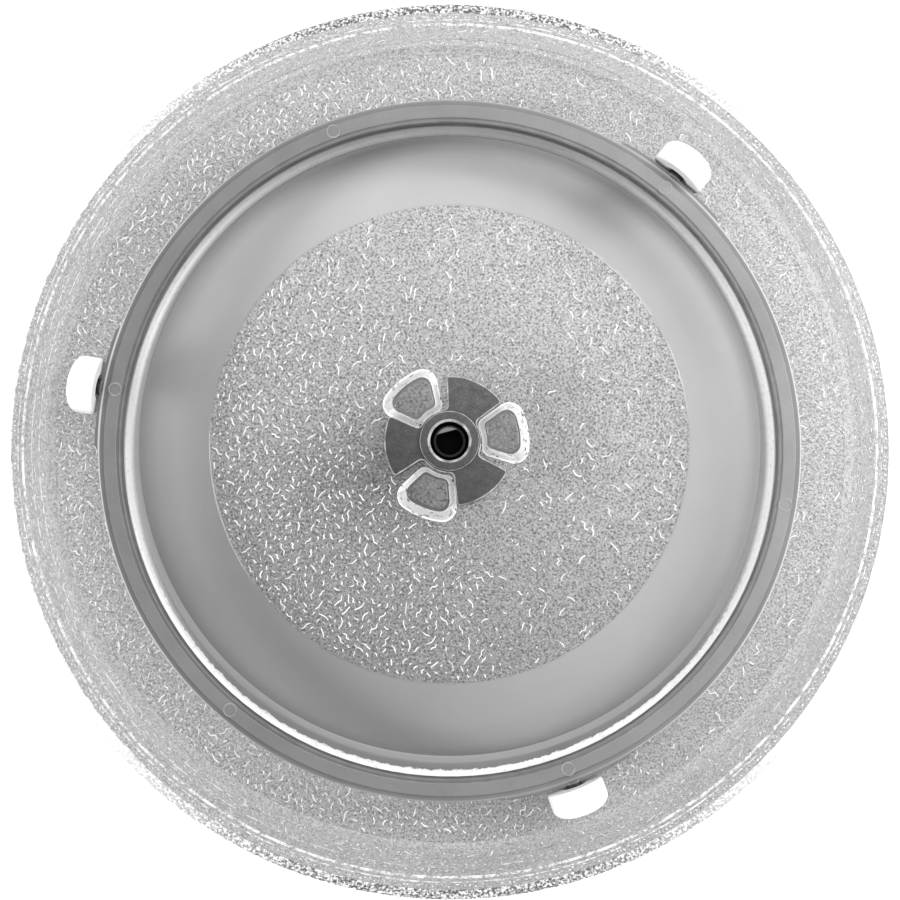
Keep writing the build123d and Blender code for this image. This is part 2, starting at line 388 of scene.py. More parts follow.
# ---------------------------------------------------------------------------
# Glass plate
# ---------------------------------------------------------------------------
def wander(n, step):
    """Smooth random values between -1 and 1 round a circle of n places."""
    knots = [rng.uniform(-1, 1) for _ in range(n // step + 1)]
    out = []
    for i in range(n):
        f = i / n * len(knots)
        k, t = int(f), f - int(f)
        t = t * t * (3 - 2 * t)
        out.append(knots[k % len(knots)] * (1 - t) + knots[(k + 1) % len(knots)] * t)
    return out


def make_plate():
    s = Shell()
    n, fine = 360, 720

    # underside: centre disc edge, smooth band, step down to the track
    inner = rounded([(DISC_R, DISC_Z, 0), (63.7, 16.75, 0.2), (74.0, 16.75, 0), (82.2, 16.75, 0), (84.2, 16.75, 0.7),
                     (86.6, TRACK_Z, 0.7), (88.2, TRACK_Z, 0)])
    rows = [s.ring(r, z, n) for r, z in inner]
    for (p, q), a, b in zip(zip(inner, inner[1:]), rows, rows[1:]):
        mid = (p[0] + q[0]) / 2
        s.band(a, b, STEP if mid > 82.3 else CLEAR)
    disc_edge, track_in = rows[0], rows[-1]

    # underside: from the track down the wall and over the lip. Fine tool lines
    # stand proud on the way, and the wall and lip carry strokes and dots.
    wall = rounded([(105.2, TRACK_Z, 0), (106.2, TRACK_Z, 0), (107.3, TRACK_Z, 1.2), (110.4, 11.1, 1.2), (114.8, 5.7, 0.6),
                    (116.8, 5.0, 0.6), (121.5, 3.7, 0.7), (122.5, 2.6, 0.6), (122.5, 1.2, 0.7),
                    (121.3, 0.0, 0.7), (118.4, 0.0, 0)], 2)
    lines = [(109.95, 0.3, 0.18), (112.8, 0.45, 0.18), (116.0, 0.95, 0.38), (117.4, 0.75, 0.18), (119.3, 0.25, 0.18)]

    def height(r):
        for (r0, z0), (r1, z1) in zip(wall, wall[1:]):
            if r0 <= r <= r1 and r1 > r0:
                return z0 + (z1 - z0) * (r - r0) / (r1 - r0)
        return 0.0

    upper = []
    top = [p for p in wall if p[1] > 2.5]
    for r, z in top:
        if all(abs(r - x) > half + 0.15 for x, _, half in lines):
            upper.append((r, z, None))
    for x, share, half in lines:
        upper += [(x - half, height(x - half), None), (x, height(x) + 0.09, share), (x + half, height(x + half), None)]
    upper.sort(key=lambda p: p[0])
    notch = [0.0 if i % 2 else rng.uniform(0.02, 0.15) for i in range(fine)]
    soft = wander(n, 26)
    white = wander(n, 60)
    track_out = last = s.ring(upper[0][0], upper[0][1], n)
    print("wall rows", len(upper))
    for k, (r, z, share) in enumerate(upper[1:], 1):
        r0, z0, share0 = upper[k - 1]
        if share is not None:
            row = s.ring(r, z, n, [rng.uniform(-0.10, 0.10) + 0.05 * v for v in soft])
        elif r > 121.0:
            deep = 1.0 if r > 121.9 else 0.5
            row = s.ring(r, z, fine, [deep * d for d in notch])
        elif share0 is not None:
            row = s.ring(r, z, n, [0.07 * rng.uniform(-1, 1) for _ in range(n)])
        else:
            row = s.ring(r, z, n)
        slope = math.hypot(r - r0, z - z0)
        if share is not None or share0 is not None:
            on = share if share is not None else share0
            # faces picked as lit take the painted white highlight of plate_line
            for i in range(n):
                j = (i + 1) % n
                lit = 0.5 + 0.5 * white[i] < on - 0.15 + 0.3 * rng.random()
                s.face((last[i], last[j], row[j], row[i]), LINE if lit else RIM)
        elif slope > 1.2 and r < 121.0:
            mid = (r + r0) / 2
            length = 2 * math.pi * mid
            marks = Strokes(lambda u, t, e=slope, w=length: 0.3 < u < w - 0.3 and 0.12 < t < e - 0.12,
                            0.72 if r > 117.5 else 0.95,
                            lambda u, t, turn, m=mid: pick_glint(0.5 - 0.4 * math.cos(u / m), u / m + math.pi / 2 - turn))
            spot = in_box(length, slope)
            if r > 117.5:
                marks.dots(spot, int(length * slope * 1.6))
            else:
                marks.scatter(spot, int(length * slope * 0.8))
                marks.dots(spot, int(length * slope * 0.4))
            print("cone", round(r0, 2), round(r, 2), "marks", len(marks.items))
            s.cone(last, row, (r0, z0), (r, z), marks.items, RIM)
        else:
            for i in range(len(row)):
                if len(last) != len(row):
                    s.band(last, row, EDGE if r > 121.2 else RIM)
                    break
                j = (i + 1) % len(row)
                # the fillet at the wall's foot takes the plate_turn tone, except towards the top
                turn_band = r < 107.8 and math.sin(2 * math.pi * i / len(row)) < 0.8
                s.face((last[i], last[j], row[j], row[i]), EDGE if r > 121.2 else TURN if turn_band else RIM)
        last = row

    # outside edge, rim land and food side
    under = rounded([(122.5, 2.6, 0), (122.5, 1.2, 0.7), (121.3, 0.0, 0.7), (118.4, 0.0, 0), (114.6, 0.75, 0),
                     (111.7, 2.6, 2.5), (105.9, 9.4, 3.0), (95.0, 9.4, 0), (85.0, 9.4, 2.0), (82.7, FOOD_Z, 2.0),
                     (80.0, FOOD_Z, 0)], 2)
    for r, z in under:
        if z > upper[-1][1] - 0.2 and r > 121:
            continue
        row = s.ring(r, z, fine, notch) if r > 121.0 and z > 0.05 else s.ring(r, z, n)
        s.band(last, row, EDGE if r > 121.0 else FOOD)
        last = row

    # food side: flat middle, in fewer and fewer steps towards the axis
    for r, count in ((60.0, 180), (36.0, 90), (18.0, 45)):
        row = s.ring(r, FOOD_Z, count)
        s.band(last, row, FOOD)
        last = row
    centre = s.point(0, 0, FOOD_Z)
    for i in range(len(last)):
        s.face((last[i], last[(i + 1) % len(last)], centre), FOOD)

    # drive lugs
    feet, foot_outlines = [], []
    steps = [(0.00, -0.40), (0.05, -0.20), (0.18, -0.06), (0.42, 0.0), (2.4, 0.0), (4.4, 0.0), (LUG_H - LUG_TOP_ROUND, 0.0)]
    steps += [(LUG_H - LUG_TOP_ROUND * (1 - math.sin(math.radians(w))),
               LUG_TOP_ROUND * (1 - math.cos(math.radians(w)))) for w in (25, 50, 70, 90)]
    for k in range(3):
        angle = LUG_A0 + 120 * k
        last = None
        for h, inset in steps:
            pts = turned(lug_outline(h / LUG_H, inset), angle)
            row = [s.point(x, y, DISC_Z + h) for x, y in pts]
            if last:
                for i in range(len(row)):
                    k = (i + 1) % len(row)
                    outer = i < 12 or i >= len(row) - 12
                    # outer lug walls take the painted white highlight, the walls towards the hub also the painted glow
                    s.face((last[i], last[k], row[k], row[i]), CLEAR if h > LUG_H - 0.5 else LUG_LIT if outer else SIDE)
            else:
                feet.append(row)
                foot_outlines.append(pts)
            last = row
        cx = sum(s.v[i][0] for i in last) / len(last)
        cy = sum(s.v[i][1] for i in last) / len(last)
        for share in (0.55, 0.2):
            row = [s.point(cx + (s.v[i][0] - cx) * share, cy + (s.v[i][1] - cy) * share, DISC_Z + LUG_H) for i in last]
            s.band(last, row, LUG)
            last = row
        top = s.point(cx, cy, DISC_Z + LUG_H)
        for i in range(len(last)):
            s.face((last[i], last[(i + 1) % len(last)], top), LUG)

    # stippled centre disc
    keep_off = [turned(lug_outline(0, -0.75), LUG_A0 + 120 * k) for k in range(3)]

    def on_disc(x, y):
        r = math.hypot(x, y)
        if r > DISC_R - 0.5 or r < ROOT_R + 0.6:
            return False
        if r < WING_R + 0.6:
            turn = (math.degrees(math.atan2(y, x)) - WING_A0 + 60) % 120 - 60
            if abs(turn) < WING_HALF + 40 / r:
                return False
        return r > LUG_OUT + 1.5 or not any(inside(p, x, y) for p in keep_off)

    def disc_tone(x, y, turn):
        return pick_glint(min(0.95, max(0.06, 0.15 + (-0.9 * x - 0.35 * y - 5) / 40)), turn)

    disc = Strokes(on_disc, 0.95, disc_tone)
    disc.scatter(in_ring(ROOT_R, DISC_R - 0.7), 14000, 0.5)
    s.sheet([disc_edge] + feet, disc.items, DISC_Z,
            lambda c, t, f: c.length < LUG_OUT + 1.5 and any(inside(p, c.x, c.y) for p in foot_outlines), STIPPLE)

    # stippled track
    track = Strokes(lambda x, y: 88.6 < math.hypot(x, y) < 104.9, 1.0,
                    lambda x, y, turn: pick_glint(min(0.95, max(0.05, 0.45 - 0.009 * x - 0.002 * y)), turn))
    track.scatter(in_ring(88.6, 104.9), 12000, 0.45)
    rim = set(track_in)
    s.sheet([track_in, track_out], track.items, TRACK_Z, lambda c, t, f: all(f[i] in rim for i in t), TRACK)
    print("strokes", len(disc.items), len(track.items))
    return s.build("plate_glass")


plate = make_plate()
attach(plate, "plate")
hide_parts("glass_plate")


# ---------------------------------------------------------------------------
# Materials
# ---------------------------------------------------------------------------
class Nodes:
    """A material and short ways to add nodes to it."""

    def __init__(self, name):
        self.mat = bpy.data.materials.new(name)
        self.mat.use_nodes = True
        self.tree = self.mat.node_tree
        self.bsdf = self.tree.nodes["Principled BSDF"]
        self.coord = self.tree.nodes.new("ShaderNodeTexCoord").outputs["Object"]

    def set(self, **values):
        for key, value in values.items():
            self.bsdf.inputs[key.replace("_", " ")].default_value = value

    def link(self, a, b):
        self.tree.links.new(a, b)

    def noise(self, scale, detail=3.0, rough=0.55, stretch=None):
        node = self.tree.nodes.new("ShaderNodeTexNoise")
        node.inputs["Scale"].default_value = scale
        node.inputs["Detail"].default_value = detail
        node.inputs["Roughness"].default_value = rough
        if stretch:
            m = self.tree.nodes.new("ShaderNodeMapping")
            m.inputs["Scale"].default_value = stretch
            self.link(self.coord, m.inputs["Vector"])
            self.link(m.outputs["Vector"], node.inputs["Vector"])
        else:
            self.link(self.coord, node.inputs["Vector"])
        return node.outputs["Fac"]

    def voronoi(self, scale, feature="F1"):
        node = self.tree.nodes.new("ShaderNodeTexVoronoi")
        node.feature = feature
        node.inputs["Scale"].default_value = scale
        self.link(self.coord, node.inputs["Vector"])
        return node.outputs["Distance"]

    def ramp(self, fac, stops):
        node = self.tree.nodes.new("ShaderNodeValToRGB")
        e = node.color_ramp.elements
        while len(e) < len(stops):
            e.new(0.5)
        for item, (pos, col) in zip(e, stops):
            item.position = pos
            item.color = (*col, 1.0)
        self.link(fac, node.inputs["Fac"])
        return node.outputs["Color"]

    def span(self, fac, lo, hi, from_lo=0.3, from_hi=0.7):
        node = self.tree.nodes.new("ShaderNodeMapRange")
        node.inputs["From Min"].default_value = from_lo
        node.inputs["From Max"].default_value = from_hi
        node.inputs["To Min"].default_value = lo
        node.inputs["To Max"].default_value = hi
        self.link(fac, node.inputs["Value"])
        return node.outputs["Result"]

    def math(self, op, a, b):
        node = self.tree.nodes.new("ShaderNodeMath")
        node.operation = op
        for k, x in enumerate((a, b)):
            if isinstance(x, (int, float)):
                node.inputs[k].default_value = x
            else:
                self.link(x, node.inputs[k])
        return node.outputs[0]

    def mix(self, fac, a, b, blend="MIX"):
        node = self.tree.nodes.new("ShaderNodeMix")
        node.data_type = "RGBA"
        node.blend_type = blend
        for key, x in (("Factor_Float", fac), ("A_Color", a), ("B_Color", b)):
            sock = next(i for i in node.inputs if i.identifier == key)
            if isinstance(x, (int, float)):
                sock.default_value = x
            elif isinstance(x, tuple):
                sock.default_value = (*x, 1.0)
            else:
                self.link(x, sock)
        return next(o for o in node.outputs if o.identifier == "Result_Color")

    def bump(self, *layers):
        """Layers of (height, strength, distance in metres)."""
        normal = None
        for height, strength, distance in layers:
            node = self.tree.nodes.new("ShaderNodeBump")
            node.inputs["Strength"].default_value = strength
            node.inputs["Distance"].default_value = distance
            self.link(height, node.inputs["Height"])
            if normal:
                self.link(normal, node.inputs["Normal"])
            normal = node.outputs["Normal"]
        self.link(normal, self.bsdf.inputs["Normal"])


GREY = lambda v: (v, v, v)


def lamp_through(m, tint):
    """Lets the softboxes' light through the glass to what lies below it."""
    out = m.tree.nodes["Material Output"]
    path = m.tree.nodes.new("ShaderNodeLightPath")
    clear = m.tree.nodes.new("ShaderNodeBsdfTransparent")
    clear.inputs["Color"].default_value = (tint, tint, tint, 1)
    both = m.tree.nodes.new("ShaderNodeMixShader")
    m.link(path.outputs["Is Shadow Ray"], both.inputs[0])
    m.link(m.bsdf.outputs[0], both.inputs[1])
    m.link(clear.outputs[0], both.inputs[2])
    m.link(both.outputs[0], out.inputs["Surface"])


def worms(m, scale, width=0.09):
    """Ridges that wander like the grain of pressed glass."""
    n = m.noise(scale, 2.0, 0.5)
    away = m.math("ABSOLUTE", m.math("SUBTRACT", n, 0.5), 0.0)
    return m.span(away, 1.0, 0.0, 0.0, width)


def radial(m, stops, middle_y=0.0):
    """Grey tone by distance from the axis, as (millimetres, tone)."""
    parts = m.tree.nodes.new("ShaderNodeSeparateXYZ")
    m.link(m.coord, parts.inputs[0])
    x2 = m.math("POWER", parts.outputs["X"], 2.0)
    y2 = m.math("POWER", m.math("SUBTRACT", parts.outputs["Y"], middle_y), 2.0)
    near, far = stops[0][0], stops[-1][0]
    r = m.span(m.math("SQRT", m.math("ADD", x2, y2), 0.0), 0.0, 1.0, near * MM, far * MM)
    return m.ramp(r, [((mm - near) / (far - near), GREY(v)) for mm, v in stops])


def smooth_glass(name, stops, tint, side=(1.0, 1.0), middle_y=0.0, paint_ring_shadow=False):
    m = Nodes(name)
    m.set(Transmission_Weight=1.0, IOR=1.5)
    cloud = m.ramp(m.noise(45, 4, 0.6), [(0.3, GREY(0.93)), (0.7, GREY(1.0))])
    tone = m.mix(1.0, radial(m, stops, middle_y), cloud, "MULTIPLY")
    # painted light: the tone changes across the plate as the side pair sets
    tone = m.mix(1.0, tone, painted_light_slant(m, *side), "MULTIPLY")
    # painted shadow of the ring on the glass just inside it, deepest towards the upper right, lighter towards the
    # lower left
    if paint_ring_shadow:
        across = painted_light_slant(m, 0.0, 1.0, (0.35, 0.75))
        dark = m.ramp(across, [(0.05, GREY(0.35)), (0.28, GREY(0.08)), (0.50, GREY(0.08)), (0.70, GREY(0.28)), (0.92, GREY(0.62))])
        beside = radial(m, [(78.5, 0.0), (82.0, 1.0), (88.0, 1.0)], middle_y)
        tone = m.mix(m.math("MULTIPLY", dark, beside), tone, GREY(0.0))
    m.link(tone, m.bsdf.inputs["Base Color"])
    m.link(m.span(m.noise(160, 4), 0.0, 0.04), m.bsdf.inputs["Roughness"])
    m.bump((m.noise(70, 2), 0.10, 0.0006), (m.noise(700, 3), 0.08, 0.0001))
    lamp_through(m, tint)
    return m.mat


def painted_light_slant(m, low, high, way=(0.57, 0.82)):
    """Painted light: a slow change of tone across the plate, from the lower left up to the right by default, as if lit
    from one side.
    """
    parts = m.tree.nodes.new("ShaderNodeSeparateXYZ")
    m.link(m.coord, parts.inputs[0])
    s = m.math("ADD", m.math("MULTIPLY", parts.outputs["X"], way[0]), m.math("MULTIPLY", parts.outputs["Y"], way[1]))
    return m.span(s, low, high, -0.07, 0.07)


def grain_glass(name, low, high, scale, relief, through, tint, stops, rough=(0.03, 0.14), side=(1.0, 1.0), way=(0.57, 0.82)):
    m = Nodes(name)
    m.set(Transmission_Weight=through, IOR=1.5)
    grain = worms(m, scale, 0.12)
    fine = m.noise(scale * 1.9, 2.0, 0.6)
    tone = m.math("ADD", m.math("MULTIPLY", grain, 0.3), m.math("MULTIPLY", m.span(fine, 0.0, 1.0), 0.7))
    speckle = m.ramp(tone, [(0.15, GREY(low)), (0.80, GREY(high))])
    speckle = m.mix(1.0, speckle, radial(m, stops), "MULTIPLY")
    # painted light: the tone changes across the plate as side and way set
    m.link(m.mix(1.0, speckle, painted_light_slant(m, *side, way), "MULTIPLY"), m.bsdf.inputs["Base Color"])
    m.link(m.span(m.noise(600, 3), *rough), m.bsdf.inputs["Roughness"])
    m.bump((grain, relief, 0.00016), (fine, relief * 0.6, 0.00010))
    lamp_through(m, tint)
    return m.mat


def sparkle_glass(name):
    m = Nodes(name)
    m.set(Transmission_Weight=0.4, IOR=1.5)
    # painted glints: white specks on the rim's dots
    m.link(m.ramp(m.noise(420, 3, 0.6), [(0.34, GREY(0.45)), (0.52, GREY(1.0))]), m.bsdf.inputs["Base Color"])
    m.link(m.span(m.noise(900, 4), 0.25, 0.5), m.bsdf.inputs["Roughness"])
    m.bump((m.noise(1500, 4), 0.35, 0.0003))
    lamp_through(m, 0.95)
    return m.mat


def lug_glass(name, painted_glow):
    """Walls of the drive lugs: white as a painted highlight, with dark pits from the mould. The walls towards the hub
    also carry a painted glow."""
    m = Nodes(name)
    m.set(Transmission_Weight=0.15, IOR=1.5)
    pits = m.ramp(m.noise(760, 3, 0.6), [(0.35, GREY(0.10)), (0.41, GREY(1.0))])
    fine = m.ramp(m.noise(2600, 2), [(0.35, GREY(0.8)), (0.55, GREY(1.0))])
    tone = m.mix(1.0, pits, fine, "MULTIPLY")
    m.link(tone, m.bsdf.inputs["Base Color"])
    # painted glow, of strength painted_glow
    m.link(tone, m.bsdf.inputs["Emission Color"])
    m.set(Emission_Strength=painted_glow)
    m.link(m.span(m.noise(900, 4), 0.3, 0.6), m.bsdf.inputs["Roughness"])
    m.bump((m.noise(1100, 4), 0.35, 0.0003))
    lamp_through(m, 0.85)
    return m.mat


def step_glass(name):
    """Step under the ring: a white band of painted light with a painted glow, narrow and ragged towards the near side,
    with painted shade beside it.
    """
    m = Nodes(name)
    m.set(Transmission_Weight=0.3, IOR=1.5)
    place = m.tree.nodes.new("ShaderNodeSeparateXYZ")
    m.link(m.coord, place.inputs[0])
    # painted shade: the band dims towards the far side
    near = m.span(place.outputs["Y"], 1.0, 0.25, 0.030, 0.080)
    wide = radial(m, [(82.0, 0.06), (83.4, 0.16), (84.6, 1.0), (86.1, 1.0), (86.5, 0.3), (88.0, 0.1)], -0.0015)
    thin = radial(m, [(82.0, 0.0), (83.7, 0.0), (85.5, 1.0), (88.0, 1.0)], -0.0015)
    thin = m.math("ADD", thin, m.span(m.noise(700, 3, 0.6), -0.22, 0.22, 0.3, 0.7))
    ragged = m.ramp(thin, [(0.46, GREY(0.04)), (0.64, GREY(1.0))])
    foot = m.mix(m.span(place.outputs["Y"], 1.0, 0.0, -0.060, -0.020), wide, ragged)
    grain = m.ramp(m.noise(900, 3, 0.65), [(0.28, GREY(0.72)), (0.44, GREY(1.0))])
    white = m.mix(1.0, m.mix(1.0, foot, near, "MULTIPLY"), grain, "MULTIPLY")
    # outside the white band, painted shade beside the ring, darker towards the far side
    m.link(m.mix(white, painted_light_slant(m, 0.25, 0.12, (0.2, 0.98)), GREY(1.0)), m.bsdf.inputs["Base Color"])
    # painted glow on the white band
    m.link(white, m.bsdf.inputs["Emission Color"])
    m.set(Emission_Strength=0.28)
    m.link(m.span(m.noise(500, 3), 0.10, 0.25), m.bsdf.inputs["Roughness"])
    m.bump((m.noise(900, 3), 0.15, 0.0002))
    lamp_through(m, 1.0)
    return m.mat


def stroke_glass(name):
    """Ridges with a painted highlight on the flank towards the left and painted shade on the flank towards the right,
    both strongest towards the left of the plate.
    """
    m = Nodes(name)
    m.set(Transmission_Weight=0.6, IOR=1.5)
    turn = m.tree.nodes.new("ShaderNodeSeparateXYZ")
    m.link(m.coord.node.outputs["Normal"], turn.inputs[0])
    lean = m.math("ADD", m.math("MULTIPLY", turn.outputs["X"], -0.98), m.math("MULTIPLY", turn.outputs["Y"], 0.2))
    place = m.tree.nodes.new("ShaderNodeSeparateXYZ")
    m.link(m.coord, place.inputs[0])
    reach = m.span(place.outputs["X"], 1.0, 0.22, -0.050, 0.045)
    # painted highlight on flanks facing left
    lit = m.math("MULTIPLY", m.span(lean, 0.0, 1.0, -0.24, 0.08), reach)
    lit = m.math("MULTIPLY", lit, m.span(m.noise(260, 3), 0.55, 1.0))
    # painted shade on flanks facing right
    dull = m.math("MULTIPLY", m.span(lean, 1.0, 0.0, -0.40, -0.22), reach)
    body = m.ramp(m.noise(900, 3), [(0.3, GREY(0.24)), (0.7, GREY(0.40))])
    body = m.mix(dull, body, GREY(0.12))
    m.link(m.mix(lit, body, GREY(1.0)), m.bsdf.inputs["Base Color"])
    m.link(m.span(m.noise(400, 3), 0.05, 0.18), m.bsdf.inputs["Roughness"])
    m.bump((m.noise(1800, 2), 0.15, 0.0001))
    lamp_through(m, 0.9)
    return m.mat


def bright_glass(name):
    """Ridges painted white as glints."""
    m = Nodes(name)
    m.set(Transmission_Weight=0.3, IOR=1.5)
    m.link(m.ramp(m.noise(350, 3), [(0.32, GREY(0.70)), (0.5, GREY(1.0))]), m.bsdf.inputs["Base Color"])
    m.link(m.span(m.noise(400, 3), 0.2, 0.4), m.bsdf.inputs["Roughness"])
    m.bump((m.noise(1800, 2), 0.15, 0.0001))
    lamp_through(m, 0.95)
    return m.mat


def line_glass(name):
    """Tool lines: white as a painted highlight, broken in places."""
    m = Nodes(name)
    m.set(Transmission_Weight=0.35, IOR=1.5)
    patchy_highlight = m.math("ADD", m.math("MULTIPLY", m.noise(420, 4, 0.7), 0.6), m.math("MULTIPLY", m.noise(1500, 2), 0.4))
    m.link(m.ramp(patchy_highlight, [(0.44, GREY(0.34)), (0.55, GREY(1.0))]), m.bsdf.inputs["Base Color"])
    m.link(m.span(m.noise(900, 4), 0.25, 0.6), m.bsdf.inputs["Roughness"])
    m.bump((m.noise(1500, 4), 0.35, 0.0003))
    lamp_through(m, 0.9)
    return m.mat


def edge_glass(name):
    """Chipped outer edge, white as a painted highlight; dark pits show towards the near and far sides, fewer on its
    steep faces.
    """
    m = Nodes(name)
    m.set(Transmission_Weight=0.1, IOR=1.5)
    place = m.tree.nodes.new("ShaderNodeSeparateXYZ")
    m.link(m.coord, place.inputs[0])
    far = m.span(m.math("ABSOLUTE", place.outputs["Y"], 0.0), 0.0, 1.0, 0.062, 0.116)
    far = m.math("MULTIPLY", far, m.span(facing(m), 0.25, 1.0, 0.05, 0.35))
    pits = m.math("MULTIPLY", m.span(m.noise(1300, 3, 0.7), 1.0, 0.0, 0.44, 0.62), far)
    body = m.ramp(m.noise(1400, 4, 0.65), [(0.28, GREY(0.95)), (0.45, GREY(1.0))])
    m.link(m.mix(pits, body, GREY(0.06)), m.bsdf.inputs["Base Color"])
    m.link(m.span(m.noise(900, 4), 0.35, 0.7), m.bsdf.inputs["Roughness"])
    m.bump((m.noise(1500, 4), 0.35, 0.0003))
    lamp_through(m, 0.97)
    return m.mat


def facing(m):
    """How level the surface is: 1 on a top face, about 0.7 on a broken edge."""
    coord = m.coord.node.outputs["Normal"]
    parts = m.tree.nodes.new("ShaderNodeSeparateXYZ")
    m.link(coord, parts.inputs[0])
    return parts.outputs["Z"]


def edges(m, low=0.35, high=0.93):
    """1 on edges that are broken or rounded upwards, 0 on faces and walls."""
    z = facing(m)
    up = m.span(z, 0.0, 1.0, low, low + 0.2)
    down = m.span(z, 1.0, 0.0, high - 0.12, high)
    return m.math("MULTIPLY", up, down)


def ring_plastic(name):
    m = Nodes(name)
    tone = m.ramp(m.noise(55, 5, 0.6), [(0.30, GREY(0.190)), (0.70, GREY(0.245))])
    fine = m.ramp(m.noise(2600, 2), [(0.3, GREY(0.90)), (0.7, GREY(1.0))])
    body = m.mix(1.0, tone, fine, "MULTIPLY")
    # painted highlight on the broken edges, in patches
    patchy_highlight = m.math("MULTIPLY", edges(m), m.span(m.noise(240, 4), 0.25, 0.7))
    body = m.mix(patchy_highlight, body, GREY(0.48))
    # painted shade: the hollow inner side, the groove and the ledge darker than the crown, the stubs beside the wheels
    # nearly black, and a thin line at the outer edge lighter as a painted highlight
    inner = radial(m, [(85.6, 0.40), (86.1, 0.70), (86.45, 0.60), (87.0, 0.78), (89.9, 0.80), (90.1, 0.70), (91.2, 0.70),
                       (91.4, 1.0), (91.75, 1.0), (92.0, 0.62), (92.5, 0.60), (92.7, 0.04)], -0.0015)
    body = m.mix(1.0, body, inner, "MULTIPLY")
    # painted light: lighter towards the right
    body = m.mix(1.0, body, painted_light_slant(m, 0.80, 1.18, (0.95, 0.3)), "MULTIPLY")
    # the pins' witness rings stand proud and carry a painted highlight on their tops
    parts = m.tree.nodes.new("ShaderNodeSeparateXYZ")
    m.link(m.coord, parts.inputs[0])
    pin_highlight = m.math("MULTIPLY", m.span(parts.outputs["Z"], 0.0, 1.0, 0.02403, 0.02409), m.span(m.noise(420, 2), 0.15, 0.9))
    body = m.mix(pin_highlight, body, GREY(0.32))
    # painted highlight on a thin line at the outer edge, at the left and right only
    line = radial(m, [(91.30, 0.0), (91.45, 1.0), (91.75, 1.0), (91.85, 0.0)], -0.0015)
    sides = m.span(m.math("ABSOLUTE", parts.outputs["Y"], 0.0), 0.75, 0.0, 0.050, 0.085)
    m.link(m.mix(m.mix(1.0, line, sides, "MULTIPLY"), body, GREY(0.55)), m.bsdf.inputs["Base Color"])
    m.link(m.span(m.noise(140, 4), 0.34, 0.50), m.bsdf.inputs["Roughness"])
    m.set(IOR=1.5)
    m.bump((m.noise(380, 3), 0.12, 0.0002), (m.noise(3000, 2), 0.18, 0.00006))
    return m.mat


def wheel_plastic(name):
    m = Nodes(name)
    tone = m.ramp(m.noise(120, 4), [(0.30, GREY(0.94)), (0.70, GREY(0.98))])
    m.link(tone, m.bsdf.inputs["Base Color"])
    m.link(m.span(m.noise(260, 4), 0.28, 0.45), m.bsdf.inputs["Roughness"])
    m.set(IOR=1.49)
    m.bump((m.noise(900, 3), 0.10, 0.0001))
    return m.mat


def coupler_plastic(name):
    m = Nodes(name)
    tone = m.ramp(m.noise(420, 5, 0.7), [(0.28, GREY(0.030)), (0.72, GREY(0.090))])
    fine = m.ramp(m.noise(2000, 3), [(0.32, GREY(0.45)), (0.68, GREY(1.0))])
    body = m.mix(1.0, tone, fine, "MULTIPLY")
    # painted light: lighter towards the upper right
    body = m.mix(1.0, body, painted_light_slant(m, 0.2, 1.7, (1.6, 2.2)), "MULTIPLY")
    # painted highlight on the broken edges, in patches
    patchy_highlight = m.math("MULTIPLY", edges(m), m.span(m.noise(420, 4), 0.15, 1.0))
    body = m.mix(patchy_highlight, body, GREY(0.60))
    # painted shade: the inside of the socket is black, with a dim tube top and little sheen
    parts = m.tree.nodes.new("ShaderNodeSeparateXYZ")
    m.link(m.coord, parts.inputs[0])
    r = m.math("SQRT", m.math("ADD", m.math("POWER", parts.outputs["X"], 2.0), m.math("POWER", parts.outputs["Y"], 2.0)), 0.0)
    near = m.span(r, 1.0, 0.0, 0.00495, 0.00515)
    deep = m.span(parts.outputs["Z"], 1.0, 0.0, 0.0239, 0.0244)
    socket_shade = m.math("MULTIPLY", near, deep)
    top = m.span(parts.outputs["Z"], 0.0, 1.0, 0.02235, 0.02250)
    tube = m.mix(top, GREY(0.002), GREY(0.02))
    # painted highlight on the ledge of the socket's flat
    flat = m.math("ADD", m.math("MULTIPLY", parts.outputs["X"], -0.259), m.math("MULTIPLY", parts.outputs["Y"], 0.966))
    flat_highlight = m.math("MULTIPLY", m.span(flat, 0.0, 1.0, 0.00245, 0.0026), m.span(r, 1.0, 0.0, 0.0036, 0.0038))
    tube = m.mix(m.math("MULTIPLY", top, flat_highlight), tube, GREY(0.18))
    m.link(m.mix(socket_shade, body, tube), m.bsdf.inputs["Base Color"])
    m.link(m.span(socket_shade, 0.5, 0.02, 0.0, 1.0), m.bsdf.inputs["Specular IOR Level"])
    m.link(m.span(m.noise(420, 4), 0.42, 0.58), m.bsdf.inputs["Roughness"])
    m.set(IOR=1.45)
    m.bump((m.noise(1300, 3), 0.16, 0.0001), (m.noise(4200, 2), 0.15, 0.00005))
    return m.mat


